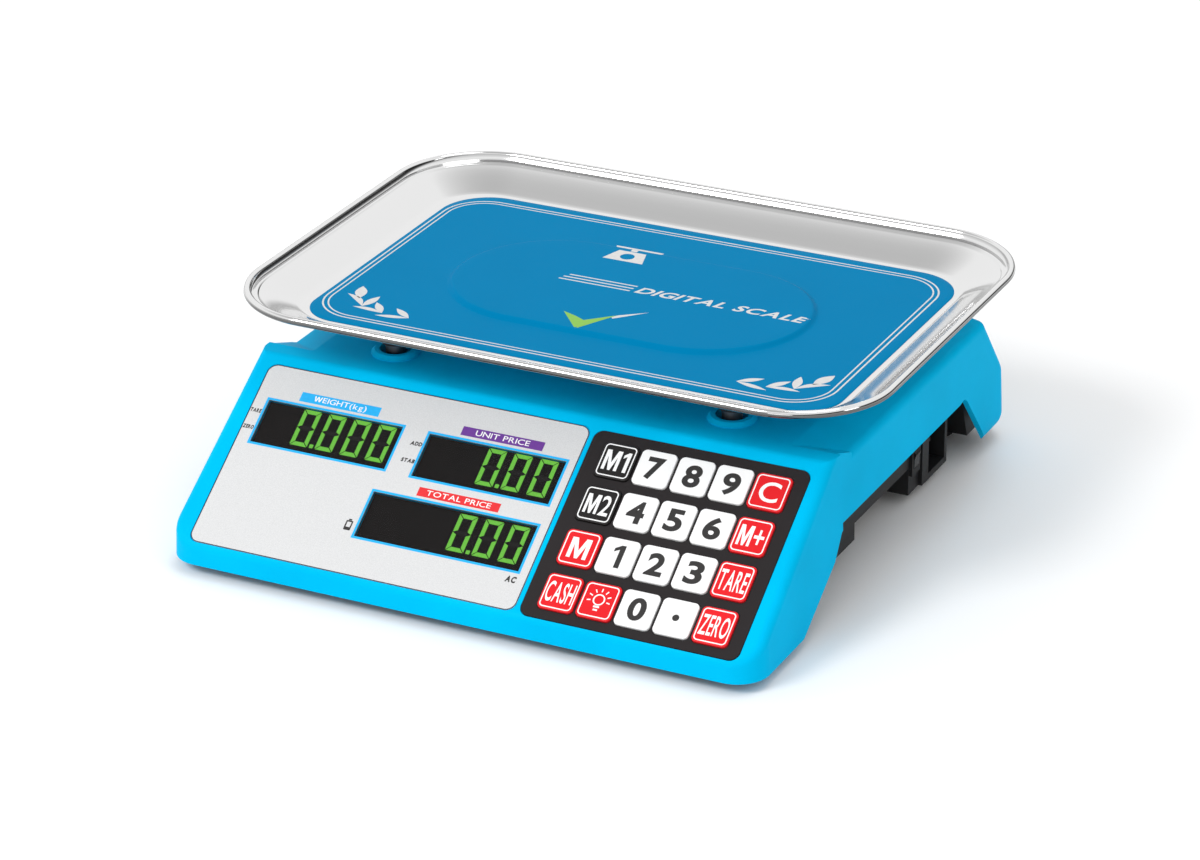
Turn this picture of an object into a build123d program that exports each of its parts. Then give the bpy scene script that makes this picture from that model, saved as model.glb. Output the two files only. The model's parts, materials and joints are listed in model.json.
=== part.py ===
"""Retail price-computing scale: a low moulded body with a sloping key and display panel, a stainless
weighing pan on four posts over a single load cell, a black base tray and a customer display behind.
Millimetres. X to the operator's right, Y away from the operator, Z up, feet on Z = 0."""
from build123d import *
import math
import os

# ---- body -------------------------------------------------------------------------------------
BODY_W = 310.0            # width of the front block at its lower edge
MAIN_W = 305.2            # width of the body behind the front block
BODY_D = 321.8            # front lip to rear face
FRONT_Y, REAR_Y = -BODY_D / 2, BODY_D / 2
BLOCK_END_Y = -59.1       # where the wider front block ends
SKIRT_Z = 5.5             # lower edge of the housing
LIP_Z = 15.5              # front lip's top, where the sloping panel starts
SLOPE = 35.0              # panel's angle from the horizontal, degrees
DECK_Z = 79.0             # deck under the pan
REAR_SLOPE = 53.7         # customer face's angle from the horizontal, degrees
REAR_Z = 27.0             # lower edge of the customer face
DRAFT = 2.35              # side walls lean in by this angle, degrees
WALL = 3.0                # housing wall
PLAN_R = 16.0             # body's corner radius in plan
SHOULDER_X, SHOULDER_DROP = 124.0, 9.0   # deck falls away outside this, by this much at the side wall
SHOULDER_Y0, SHOULDER_Y1 = -63.0, -36.0  # the fall starts behind the front block over this stretch
EDGE_R = 4.8              # rounding of the housing's outer edges
ARCH_Z = 41.0             # side skirt's edge over the arches
REAR_FOOT_R = 9.0         # rounding under the rear edge

# ---- weighing pan and its support ----------------------------------------------------------------
PAN_W, PAN_D = 340.0, 243.0
PAN_Y = 32.4              # pan's centre
PAN_R = 50.0              # plan corner radius at the rim
RIM_Z = 106.4             # rim bead's centre line
BEAD_R = 2.0
PAN_FLOOR_Z = 95.0        # top of the pan's floor
PAN_T = 0.8
FLOOR_W, FLOOR_D, FLOOR_R = 291.0, 183.6, 28.5
FILM_W, FILM_D, FILM_T = 282.0, 178.6, 0.2
FILM_X = 2.0              # film's centre, a little off the pan's
FILM_FRONT_R, FILM_REAR_R = 20.0, 26.0
POST_X, POST_DY = 90.0, 77.0
POST_R = 5.0
COLLAR_R, COLLAR_HOLE_R, COLLAR_H = 12.0, 8.0, 2.4
LEVEL_AT, LEVEL_R = (-110, -10), 7.0     # bubble level in the deck
SPIDER_Z, SPIDER_T = 50.0, 4.0
CAP_Z, CAP_R = 85.0, 7.0                 # rubber caps on the posts: foot and radius

# ---- operator panel, in its own plane: u to the right, v up the slope, w out of it -----------------
OVERLAY = (-142.4, 31.7, 2.75, 104.5)          # u0, u1, v0, v1
KEYPAD = (34.5, 145.0, 2.2, 104.0)
PANEL_R = 5.0
OVERLAY_T = 0.8
WINDOWS = {
    "weight": (-134.6, -60.9, 60.8, 84.9),
    "unit_price": (-46.2, 26.5, 60.3, 84.3),
    "total_price": (-61.0, 26.1, 23.2, 48.3),
}
LENS_TOP, LENS_T = -0.1, 1.1
LED_TOP, LED_T = -1.6, 8.0
BOARD_T = 1.6
BOARD_TOP = LED_TOP - LED_T           # display boards lie under the LED modules
DISPLAY_BOARD = (-136.5, 29.0, 19.0, 100.0)
DISPLAY_SCREWS = [(-128, 45), (-75, 30), (-128, 93.5), (20, 93.5)]
KEY_U = [51.0 + 19.53 * i for i in range(5)]
KEY_V = [16.6 + 24.13 * i for i in range(4)]
KEY_W, KEY_H, KEY_R = 18.0, 18.9, 2.6
KEY_TOP = 1.3             # key's top above the panel
BEZEL_TOP, BEZEL_T = 0.2, 1.8
KEY_GAP = 0.3
KEY_NAMES = [
    ["key_cash", "key_lamp", "key_0", "key_point", "key_zero"],
    ["key_m", "key_1", "key_2", "key_3", "key_tare"],
    ["key_m2", "key_4", "key_5", "key_6", "key_m_plus"],
    ["key_m1", "key_7", "key_8", "key_9", "key_c"],
]
MAT_TOP, MAT_SHEET_TOP, MAT_BASE = -4.3, -5.0, -6.0
KEYPAD_BOARD = (37.5, 136.5, 5.0, 101.0)
KEY_SCREWS = [((KEY_U[i] + KEY_U[i + 1]) / 2, (KEY_V[j] + KEY_V[j + 1]) / 2) for i in (0, 3) for j in (0, 2)]

# ---- customer panel on the rear face: p to the viewer's right, q up the slope ----------------------
REAR_PANEL = (-120.0, 120.0, 18.0, 58.0)
REAR_WINDOWS = {
    "rear_weight": (-110.0, -44.0, 27.0, 49.0),
    "rear_unit_price": (-33.0, 33.0, 27.0, 49.0),
    "rear_total_price": (44.0, 110.0, 27.0, 49.0),
}
REAR_BOARD = (-116.0, 116.0, 22.0, 54.0)
REAR_SCREWS = [(-38.5, 38), (38.5, 38)]

# ---- base tray -----------------------------------------------------------------------------------
BASE_W, BASE_T = 280.0, 2.5
FRONT_FLOOR_Z, BLOCK_FLOOR_Z = 11.8, 6.0      # undersides of the front part and of the rear block
BLOCK_Y0, BLOCK_Y1 = 54.1, 103.9
LEG_Y = 131.6             # front of the tray's part in the rear leg
NOTCH_Y0, NOTCH_Z, NOTCH_DEPTH = -12.9, 20.6, 28.0
FEET = {"front_left": (-118, -126), "front_right": (118, -126), "rear_left": (-118, 142), "rear_right": (118, 142)}
FOOT_STEM_R, FOOT_PAD_R, FOOT_PAD_H = 3.9, 10.0, 5.0
HOUSING_POSTS = [(-100, -149), (33.2, -141), (-128, -40), (128, -40), (-60, 112), (60, 112)]
POST_TOP_R, SCREW_R, SCREW_HEAD_R = 4.0, 1.5, 3.0
BOARD_SCREW_R, BOARD_HEAD_R, BOSS_R = 0.9, 1.9, 1.95

# ---- load cell, power and battery -------------------------------------------------------------------
CELL_L, CELL_W, CELL_H, CELL_Z = 130.0, 22.0, 22.0, 24.0
CELL_BOLT_X, CELL_BOLT_R = (40.0, 57.0), 3.0
CELL_SEAT_Z = 17.0        # seat of the bolts under the load cell
BATTERY = (101.0, 66.0, 44.0)
BATTERY_Y = -44.0
INLET_Y, INLET_Z = 85.5, 21.4
INLET_W, INLET_H = 24.0, 25.6
SWITCH_Y, SWITCH_Z = 60.3, 24.0
SWITCH_W, SWITCH_H = 8.4, 13.6
ROCKER_R, ROCKER_W = 5.6, 6.0
ROCKER_REST = -9.0        # rocker's lean at rest, degrees: switched on

TAN, COS, SIN = (f(math.radians(SLOPE)) for f in (math.tan, math.cos, math.sin))
RTAN, RCOS, RSIN = (f(math.radians(REAR_SLOPE)) for f in (math.tan, math.cos, math.sin))
PANEL = Plane(origin=(0, FRONT_Y, LIP_Z), x_dir=(1, 0, 0), z_dir=(0, -SIN, COS))
REAR_FACE = Plane(origin=(0, REAR_Y, REAR_Z), x_dir=(-1, 0, 0), z_dir=(0, RSIN, RCOS))


# ---- helpers ----------------------------------------------------------------------------------------
def block(x0, x1, y0, y1, z0, z1):
    """Axis-aligned block between the given limits."""
    return Pos((x0 + x1) / 2, (y0 + y1) / 2, (z0 + z1) / 2) * Box(x1 - x0, y1 - y0, z1 - z0)


def rod(x, y, z0, z1, r):
    """Upright cylinder from z0 to z1."""
    return Pos(x, y, (z0 + z1) / 2) * Cylinder(r, z1 - z0)


def side_prism(points, half_width):
    """Solid with the given (y, z) outline, from -half_width to +half_width along X."""
    outline = Plane.YZ * make_face(Polyline(*points, close=True))
    return extrude(outline, amount=half_width, both=True)


def plate(plane, limits, w_top, thickness, corner=0.0, grow=0.0):
    """Plate in a panel's plane: limits are (u0, u1, v0, v1), its top at height w_top."""
    u0, u1, v0, v1 = limits
    width, height = u1 - u0 + 2 * grow, v1 - v0 + 2 * grow
    shape = RectangleRounded(width, height, corner) if corner else Rectangle(width, height)
    solid = extrude(shape, amount=-thickness)
    return plane * Pos((u0 + u1) / 2, (v0 + v1) / 2, w_top) * solid


def stud(plane, u, v, w0, w1, r):
    """Cylinder standing along a panel's normal, from w0 to w1."""
    return plane * Pos(u, v, (w0 + w1) / 2) * Cylinder(r, abs(w1 - w0))


def union(parts):
    """All the given solids joined into one."""
    total = parts[0]
    for part in parts[1:]:
        total = total + part
    return total


def cut_all(body, tools):
    """The body with every tool taken out of it."""
    for tool in tools:
        body = body - tool
    return body


def save(name, shape):
    """Write one node."""
    export_step(shape, "parts/" + name + ".step")


# ---- upper housing -------------------------------------------------------------------------------------
def housing_profile(inset, z_low):
    """Side outline of the housing as (y, z) points, every face moved in by inset."""
    lip = LIP_Z + inset * TAN - inset / COS
    deck = DECK_Z - inset
    deck_front = FRONT_Y + (deck - LIP_Z + inset / COS) / TAN
    face_shift = inset / RSIN
    deck_rear = REAR_Y - (deck - REAR_Z) / RTAN - face_shift
    rear_corner = REAR_Z - (face_shift - inset) * RTAN
    return [
        (FRONT_Y + inset, z_low), (FRONT_Y + inset, lip), (deck_front, deck),
        (deck_rear, deck), (REAR_Y - inset, rear_corner), (REAR_Y - inset, z_low),
    ]


def body_form(width, inset, z_low):
    """Drafted, round-cornered body of the given width, cut to the side outline."""
    plan = RectangleRounded(width - 2 * inset, BODY_D - 2 * inset, PLAN_R - inset)
    drafted = Pos(0, 0, z_low) * extrude(plan, amount=DECK_Z + 5 - z_low, taper=DRAFT)
    return drafted & side_prism(housing_profile(inset, z_low), BODY_W)


def skirt_cut():
    """Everything under the side skirts: the sweep behind the front block and the rear arch."""
    outline = [
        (-106.0, -1.0), (-106.0, SKIRT_Z), (-69.1, 28.0), (-60.5, ARCH_Z - 1.5), (-57.5, ARCH_Z),
        (92.0, ARCH_Z), (98.0, ARCH_Z + 0.9), (101.5, ARCH_Z - 1.2), (126.0, 9.0), (128.5, SKIRT_Z), (128.5, -1.0),
    ]
    return side_prism(outline, BODY_W)


def shoulder_roof(inset):
    """Space under the deck with its falling shoulders, moved in by inset."""
    half, top, low = BODY_W / 2, DECK_Z + 1 - inset, DECK_Z - SHOULDER_DROP - inset
    outline = [(-half, 0), (-half, low), (-SHOULDER_X, top), (SHOULDER_X, top), (half, low), (half, 0)]
    roof = extrude(Plane.XZ * make_face(Polyline(*outline, close=True)), amount=BODY_D, both=True)
    lead = side_prism([(-BODY_D, 0), (-BODY_D, top), (SHOULDER_Y0, top), (SHOULDER_Y1, low), (SHOULDER_Y1, 0)], half)
    return roof + lead


def upper_housing():
    """Blue moulded shell: front block, deck, skirts and customer face, with its openings and posts."""
    front = body_form(BODY_W, 0.0, SKIRT_Z) & block(-200, 200, FRONT_Y - 5, BLOCK_END_Y, 0, 200)
    main = body_form(MAIN_W, 0.0, SKIRT_Z) & block(-200, 200, BLOCK_END_Y, REAR_Y + 5, 0, 200)
    outer = front + main
    outer = outer & shoulder_roof(0.0)
    top_edges = [e for e in outer.edges() if e.center().Z > LIP_Z - 1 and e.length > 20
                 and abs(e.center().Y - BLOCK_END_Y) > 2]
    outer = fillet(top_edges, EDGE_R)
    foot_edges = [e for e in outer.edges().filter_by(Axis.X) if e.center().Y > 150 and e.center().Z < 8]
    outer = fillet(foot_edges, REAR_FOOT_R)
    shell = outer - (body_form(MAIN_W, WALL, SKIRT_Z - 1.0) & shoulder_roof(WALL)) - skirt_cut()
    collars = [rod(sx * POST_X, PAN_Y + sy * POST_DY, DECK_Z - 1, DECK_Z + COLLAR_H, COLLAR_R)
               for sx in (-1, 1) for sy in (-1, 1)]
    collars = [chamfer(c.edges().group_by(Axis.Z)[-1], 1.6) for c in collars]
    room = body_form(MAIN_W, WALL / 2, SKIRT_Z) & shoulder_roof(WALL / 2)
    posts = [rod(x, y, post_foot_z(x, y), DECK_Z, POST_TOP_R) & room for x, y in HOUSING_POSTS]
    bosses = [stud(PANEL, u, v, -WALL / 2, BOARD_TOP, BOSS_R * 1.6) for u, v in DISPLAY_SCREWS]
    bosses += [stud(REAR_FACE, p, q, -WALL / 2, BOARD_TOP, BOSS_R * 1.6) for p, q in REAR_SCREWS]
    shell = union([shell] + collars + posts + bosses)
    holes = [rod(sx * POST_X, PAN_Y + sy * POST_DY, DECK_Z - 10, DECK_Z + 10, COLLAR_HOLE_R)
             for sx in (-1, 1) for sy in (-1, 1)]
    holes += [rod(x, y, 0, screw_tip_z(x, y) + 0.5, SCREW_R) for x, y in HOUSING_POSTS]
    holes += [plate(PANEL, OVERLAY, 2.0, 2.0 + OVERLAY_T, PANEL_R, 0.35)]
    holes += [plate(PANEL, limits, 2.0, 12.0) for limits in WINDOWS.values()]
    holes += [plate(PANEL, KEYPAD, 2.0, 2.0 + BEZEL_T - BEZEL_TOP, PANEL_R, 0.3)]
    holes += [plate(PANEL, KEYPAD, 2.0, 12.0, 3.0, -2.4)]
    holes += [plate(REAR_FACE, REAR_PANEL, 2.0, 2.0 + OVERLAY_T, PANEL_R, 0.35)]
    holes += [plate(REAR_FACE, limits, 2.0, 12.0) for limits in REAR_WINDOWS.values()]
    holes += [stud(PANEL, u, v, -3.6, -20, BOARD_SCREW_R) for u, v in DISPLAY_SCREWS]
    holes += [stud(REAR_FACE, p, q, -3.6, -20, BOARD_SCREW_R) for p, q in REAR_SCREWS]
    holes += [rod(*LEVEL_AT, DECK_Z - 10, DECK_Z + 5, LEVEL_R + 0.1)]
    return cut_all(shell, holes)


def post_foot_z(x, y):
    """Height of a housing post's foot, where it meets its base boss."""
    if y > 100:
        return 52.0
    return 17.5 if y < -100 else 26.0


def screw_tip_z(x, y):
    """Height of a housing screw's tip; the two under the panel's front edge are short."""
    return post_foot_z(x, y) + (3.0 if y < -100 else 6.0)


# ---- operator panel ------------------------------------------------------------------------------------
def overlay(plane, limits, windows):
    """Printed face sheet with a cut-out for each window."""
    sheet = plate(plane, limits, 0.0, OVERLAY_T, PANEL_R)
    return cut_all(sheet, [plate(plane, w, 1.0, 4.0) for w in windows])


def lens(plane, limits):
    """Tinted window, let into its cut-out."""
    return plate(plane, limits, LENS_TOP, LENS_T, 0.0, -0.1)


def led_module(plane, limits):
    """Seven-segment display module behind a window."""
    return plate(plane, limits, LED_TOP, LED_T, 0.0, -0.4)


def board(plane, limits, w_top, screws):
    """Circuit board with its screw holes."""
    holes = [stud(plane, u, v, w_top - 3, w_top + 2, BOARD_SCREW_R + 0.25) for u, v in screws]
    return cut_all(plate(plane, limits, w_top, BOARD_T), holes)


def keypad_bezel():
    """Black plate with one opening for each key and four hollow bosses for the keypad board."""
    body = plate(PANEL, KEYPAD, BEZEL_TOP, BEZEL_T, PANEL_R)
    openings = [PANEL * Pos(u, v, -3) * extrude(key_outline(KEY_GAP), amount=6) for v in KEY_V for u in KEY_U]
    bosses = [stud(PANEL, u, v, BEZEL_TOP - 0.5, MAT_BASE, BOSS_R) for u, v in KEY_SCREWS]
    pilots = [stud(PANEL, u, v, BEZEL_TOP - BEZEL_T, MAT_BASE - 1, BOARD_SCREW_R) for u, v in KEY_SCREWS]
    return cut_all(union([cut_all(body, openings)] + bosses), pilots)


def key_outline(gap):
    """Key's outline, grown all round by gap."""
    return RectangleRounded(KEY_W + 2 * gap, KEY_H + 2 * gap, KEY_R + gap)


def key(u, v):
    """One key cap with its retaining flange and plunger."""
    cap = Pos(0, 0, -1.9) * extrude(key_outline(0), amount=KEY_TOP + 1.9)
    cap = fillet(cap.edges().group_by(Axis.Z)[-1], 0.5)
    flange = Pos(0, 0, -2.8) * extrude(RectangleRounded(KEY_W + 0.9, KEY_H + 1.2, 1.5), amount=1.0)
    plunger = Pos(0, 0, -3.1) * Cylinder(3.0, 0.8)
    return PANEL * Pos(u, v, 0) * (cap + flange + plunger)


def keypad_dome_mat():
    """Silicone mat with a low dome under each key, holes for the bosses."""
    mat = plate(PANEL, KEYPAD_BOARD, MAT_SHEET_TOP, MAT_SHEET_TOP - MAT_BASE, 2.0)
    domes = [PANEL * Pos(u, v, (MAT_TOP + MAT_SHEET_TOP) / 2 - 0.1) * Cone(5.0, 3.6, MAT_TOP - MAT_SHEET_TOP + 0.2)
             for v in KEY_V for u in KEY_U]
    holes = [stud(PANEL, u, v, MAT_TOP + 1, MAT_BASE - 1, BOSS_R + 0.3) for u, v in KEY_SCREWS]
    return cut_all(union([mat] + domes), holes)


# ---- pan, support and load cell ----------------------------------------------------------------------------
def pan_section(grow_x, grow_y, corner, z):
    """Rounded-rectangle section of the pan at height z."""
    return Pos(0, PAN_Y, z) * RectangleRounded(2 * grow_x, 2 * grow_y, corner)


def pan_form(lift):
    """Solid bowl form from the floor to the rim, raised by lift."""
    half_x, half_y = PAN_W / 2 - BEAD_R, PAN_D / 2 - BEAD_R
    floor_z = PAN_FLOOR_Z - PAN_T + lift
    lower = loft([pan_section(FLOOR_W / 2, FLOOR_D / 2, FLOOR_R, floor_z),
                  pan_section(half_x - 6, half_y - 6, PAN_R - 8, RIM_Z - 2.4 + lift)])
    upper = loft([pan_section(half_x - 6, half_y - 6, PAN_R - 8, RIM_Z - 2.4 + lift),
                  pan_section(half_x, half_y, PAN_R - BEAD_R, RIM_Z - 0.4 + lift)])
    return lower + upper


def weighing_pan():
    """Pressed stainless pan: flat floor, sloping wall and a rolled bead at the rim."""
    sheet = pan_form(0.0) - pan_form(PAN_T)
    half_x, half_y = PAN_W / 2 - BEAD_R, PAN_D / 2 - BEAD_R
    path = Pos(0, PAN_Y, RIM_Z) * RectangleRounded(2 * half_x, 2 * half_y, PAN_R - BEAD_R).wire()
    start = Plane(origin=path @ 0, z_dir=path % 0)
    bead = sweep(start * Circle(BEAD_R), path=path)
    return sheet + bead


def pan_film():
    """Printed film on the pan's floor, with tighter front corners."""
    sheet = Pos(FILM_X, PAN_Y, PAN_FLOOR_Z) * extrude(Rectangle(FILM_W, FILM_D), amount=FILM_T)
    corners = sheet.edges().filter_by(Axis.Z)
    sheet = fillet([e for e in corners if e.center().Y > PAN_Y], FILM_REAR_R)
    corners = [e for e in sheet.edges().filter_by(Axis.Z) if e.center().Y < PAN_Y - FILM_D / 2 + 1]
    return fillet(corners, FILM_FRONT_R)


def pan_support():
    """H-shaped frame on the load cell's free end, with a post at each corner."""
    y0, y1 = PAN_Y - POST_DY, PAN_Y + POST_DY
    bars = [block(-POST_X, POST_X, PAN_Y - 13, PAN_Y + 13, SPIDER_Z, SPIDER_Z + SPIDER_T)]
    bars += [block(x - 8, x + 8, y0 - 8, y1 + 4, SPIDER_Z, SPIDER_Z + SPIDER_T) for x in (-POST_X, POST_X)]
    bars += [block(30, 66, PAN_Y - 11, PAN_Y + 11, CELL_Z + CELL_H, SPIDER_Z + 1)]
    posts = [rod(x, y, SPIDER_Z + 1, CAP_Z + 3, POST_R) for x in (-POST_X, POST_X) for y in (y0, y1)]
    holes = [rod(x, PAN_Y, 40, 60, CELL_BOLT_R + 0.3) for x in CELL_BOLT_X]
    return cut_all(union(bars + posts), holes)


def pan_support_caps():
    """Rubber cap on each post, under the pan's floor."""
    top = PAN_FLOOR_Z - PAN_T
    caps = []
    for x in (-POST_X, POST_X):
        for y in (PAN_Y - POST_DY, PAN_Y + POST_DY):
            cap = rod(x, y, CAP_Z, top, CAP_R) - rod(x, y, CAP_Z - 1, CAP_Z + 3, POST_R + 0.02)
            caps.append(fillet(cap.edges().group_by(Axis.Z)[-1], 1.2))
    return Compound(children=caps)


def load_cell():
    """Single-point beam with the double bore that lets it bend."""
    beam = block(-CELL_L / 2, CELL_L / 2, PAN_Y - CELL_W / 2, PAN_Y + CELL_W / 2, CELL_Z, CELL_Z + CELL_H)
    middle = CELL_Z + CELL_H / 2
    bores = [Pos(x, PAN_Y, middle) * Rot(90, 0, 0) * Cylinder(8.0, CELL_W + 2) for x in (-12, 12)]
    slot = block(-12, 12, PAN_Y - CELL_W, PAN_Y + CELL_W, middle - 4, middle + 4)
    bolts = [rod(s * x, PAN_Y, CELL_Z - 1, CELL_Z + CELL_H + 1, CELL_BOLT_R + 0.1)
             for x in CELL_BOLT_X for s in (-1, 1)]
    return cut_all(beam, bores + [slot] + bolts)


def bolt(x, y, z_head, z_tip, r, head_r, head_h):
    """Bolt with a socket head whose seat is at z_head, pointing to z_tip."""
    direction = 1 if z_tip > z_head else -1
    low, high = sorted((z_head, z_tip))
    head_low, head_high = sorted((z_head, z_head - direction * head_h))
    socket_low, socket_high = sorted((z_head - direction * head_h, z_head - direction * head_h * 0.5))
    solid = rod(x, y, low, high, r) + rod(x, y, head_low, head_high, head_r)
    return solid - Pos(x, y, (socket_low + socket_high) / 2) * extrude(
        RegularPolygon(head_r * 0.5, 6), amount=(socket_high - socket_low) / 2, both=True)


# ---- base tray ---------------------------------------------------------------------------------------------
def base_profile():
    """Outer side outline of the tray as (y, z) points, walls included."""
    return [
        (-148, FRONT_FLOOR_Z), (BLOCK_Y0, FRONT_FLOOR_Z), (BLOCK_Y0, BLOCK_FLOOR_Z), (BLOCK_Y1, BLOCK_FLOOR_Z),
        (BLOCK_Y1, 42.5), (118, 42.5), (LEG_Y, BLOCK_FLOOR_Z), (155, BLOCK_FLOOR_Z), (155, 20), (122, 45),
        (-100, 45), (-148, 13.5),
    ]


def base_cavity():
    """The tray's two hollows, open upward: the main one and the one in the rear leg."""
    low, block_low = FRONT_FLOOR_Z + BASE_T, BLOCK_FLOOR_Z + BASE_T
    inner = BASE_W / 2 - BASE_T
    main = side_prism([
        (-148 + BASE_T, low), (BLOCK_Y0 + BASE_T, low), (BLOCK_Y0 + BASE_T, block_low),
        (BLOCK_Y1 - BASE_T, block_low), (BLOCK_Y1 - BASE_T, 60), (-148 + BASE_T, 60)], inner)
    leg = side_prism([
        (LEG_Y + 1.8, block_low), (155 - BASE_T, block_low), (155 - BASE_T, 60), (119.9, 60), (119.9, 45)], inner)
    edge = BASE_W / 2 - NOTCH_DEPTH - BASE_T
    for s in (-1, 1):
        x0, x1 = sorted((s * edge, s * BASE_W))
        main = main - block(x0, x1, NOTCH_Y0 - BASE_T, BLOCK_Y0 + BASE_T, 0, NOTCH_Z + BASE_T)
    return main + leg


def base_housing():
    """Black tray: floor, walls, grip notches, load-cell seat, bosses for screws and feet, battery well."""
    tray = side_prism(base_profile(), BASE_W / 2)
    for s in (-1, 1):
        x0, x1 = sorted((s * (BASE_W / 2 - NOTCH_DEPTH), s * BASE_W))
        tray = tray - block(x0, x1, NOTCH_Y0, BLOCK_Y0, 0, NOTCH_Z)
    tray = tray - base_cavity()
    seat = block(-68, -28, PAN_Y - 13, PAN_Y + 13, FRONT_FLOOR_Z, CELL_Z)
    bosses = [rod(x, y, base_floor(x, y), post_foot_z(x, y), POST_TOP_R + 1.0) for x, y in HOUSING_POSTS]
    bosses += [rod(x, y, BLOCK_FLOOR_Z, 20.0, 7.5) for x, y in FEET.values()]
    tray = union([tray, seat] + bosses)
    holes = [rod(x, y, 0, 70, SCREW_R + 0.25) for x, y in HOUSING_POSTS]
    holes += [rod(x, y, 0, base_floor(x, y) + 3.0, SCREW_HEAD_R + 0.5) for x, y in HOUSING_POSTS]
    holes += [rod(x, y, 0, 30, FOOT_STEM_R + 0.08) for x, y in FEET.values()]
    holes += [rod(-x, PAN_Y, 0, 30, CELL_BOLT_R + 0.3) for x in CELL_BOLT_X]
    holes += [rod(-x, PAN_Y, 0, CELL_SEAT_Z, 5.6) for x in CELL_BOLT_X]
    holes += [wall_hole(INLET_Y, INLET_Z, INLET_W, INLET_H), wall_hole(SWITCH_Y, SWITCH_Z, SWITCH_W, SWITCH_H)]
    holes += [block(-46, 46, BATTERY_Y - 28, BATTERY_Y + 28, 0, FRONT_FLOOR_Z + 4)]
    holes += [block(-50, 50, BATTERY_Y - 32, BATTERY_Y + 32, 0, FRONT_FLOOR_Z + 1.3)]
    return cut_all(tray, holes)


def wall_hole(y, z, width, height):
    """Cut-out in the tray's right wall, a little larger than the part that sits in it."""
    half_y, half_z = width / 2 + 0.2, height / 2 + 0.2
    return block(BASE_W / 2 - 14, BASE_W / 2 + 14, y - half_y, y + half_y, z - half_z, z + half_z)


def base_floor(x, y):
    """Underside height of the tray at a screw position."""
    return 42.5 if y > 100 else FRONT_FLOOR_Z


def battery_cover():
    """Cover under the battery, let into the tray's floor."""
    cover = block(-49.7, 49.7, BATTERY_Y - 31.7, BATTERY_Y + 31.7, FRONT_FLOOR_Z - 0.2, FRONT_FLOOR_Z + 1.2)
    return cover + block(-45.7, 45.7, BATTERY_Y - 27.7, BATTERY_Y + 27.7, FRONT_FLOOR_Z, FRONT_FLOOR_Z + 2.4)


def battery():
    """Sealed lead-acid battery with two tab terminals."""
    length, depth, height = BATTERY
    z0 = FRONT_FLOOR_Z + BASE_T + 0.1
    half_x, y0, y1 = length / 2, BATTERY_Y - depth / 2, BATTERY_Y + depth / 2
    case = block(-half_x, half_x, y0, y1, z0, z0 + height - 5)
    lid = block(1 - half_x, half_x - 1, y0 + 1, y1 - 1, z0, z0 + height - 2)
    tabs = [block(x - 2.4, x + 2.4, BATTERY_Y + 20, BATTERY_Y + 20.8, z0 + height - 3, z0 + height + 3)
            for x in (-38, 38)]
    return union([case, lid] + tabs)


def transformer():
    """Mains transformer: laminated core round a wound bobbin, on a foot plate."""
    z0 = FRONT_FLOOR_Z + BASE_T
    foot_plate = block(-118, -62, -72, -20, z0, z0 + 1.5)
    core = block(-114, -66, -62, -30, z0, z0 + 32)
    coil = fillet(block(-105, -75, -70, -22, z0 + 4, z0 + 28).edges().filter_by(Axis.X), 5)
    return union([foot_plate, core, coil])


def main_board():
    """Circuit board on four stand-offs with its larger components."""
    z0 = FRONT_FLOOR_Z + BASE_T
    corners = [(x, y) for x in (56, 103) for y in (-76, -8)]
    pcb = block(52, 107, -80, -4, z0 + 6, z0 + 6 + BOARD_T)
    stands = [rod(x, y, z0, z0 + 6, 2.5) for x, y in corners]
    chips = [block(61, 81, -48, -34, z0 + 7, z0 + 10.5), block(87, 101, -66, -40, z0 + 7, z0 + 22)]
    caps = [rod(x, -62, z0 + 7, z0 + 24, 5.0) for x in (60, 74)]
    sockets = [block(x, x + 12, -14, -8, z0 + 7, z0 + 15) for x in (63, 82)]
    return union([pcb] + stands + chips + caps + sockets)


def power_inlet():
    """Mains inlet in the tray's right wall: flange, shrouded socket and three pins."""
    half, y, z = BASE_W / 2, INLET_Y, INLET_Z
    body = block(half - 24, half, y - INLET_W / 2, y + INLET_W / 2, z - INLET_H / 2, z + INLET_H / 2)
    flange = block(half, half + 2, y - 18.5, y + 13.5, BLOCK_FLOOR_Z + 0.2, z + 15.2)
    socket = block(half - 17, half + 3, y - 10.5, y + 10.5, z - 11.8, z + 11.8)
    pins = [block(half - 18, half - 3, y + dy - 2, y + dy + 2, z + dz - 1, z + dz + 1)
            for dy, dz in ((-1.5, -7), (2, 0), (-1.5, 7))]
    return union([(body + flange) - socket] + pins)


def switch_place(shape):
    """Moves a switch part from its own frame, X outward and Y up, to the tray's right wall."""
    return Pos(BASE_W / 2, SWITCH_Y, SWITCH_Z) * Rot(90, 0, 0) * shape


def power_switch_body():
    """Small rocker switch's frame, snapped into the tray's right wall."""
    half_h, half_w = SWITCH_H / 2, SWITCH_W / 2
    body = block(-12, 0, -half_h, half_h, -half_w, half_w)
    flange = block(0, 1.5, -half_h - 1.2, half_h + 1.2, -half_w - 0.9, half_w + 0.9)
    well = Pos(-2, 0, 0) * Cylinder(ROCKER_R + 0.3, ROCKER_W + 0.4)
    pivots = [rod(-2, 0, z - 0.7, z + 0.7, 1.2) for z in (-ROCKER_W / 2 + 0.1, ROCKER_W / 2 - 0.1)]
    return switch_place(union([(body + flange) - well] + pivots))


def power_rocker():
    """Rocker cap: a disc segment with two flats that meet in a shallow valley at the pivot."""
    disc = Pos(-2, 0, 0) * Cylinder(ROCKER_R, ROCKER_W)
    disc = disc & block(-5, 10, -12, 12, -10, 10)
    tilt = 8.0
    for s in (-1, 1):
        facet = Pos(1.8, 0, 0) * Rot(0, 0, ROCKER_REST - s * tilt) * Pos(6, s * 8, 0) * Box(12, 16, 20)
        disc = disc - facet
    holes = [rod(-2, 0, z - 0.9, z + 0.9, 1.25) for z in (-ROCKER_W / 2, ROCKER_W / 2)]
    return switch_place(cut_all(disc, holes))


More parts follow.
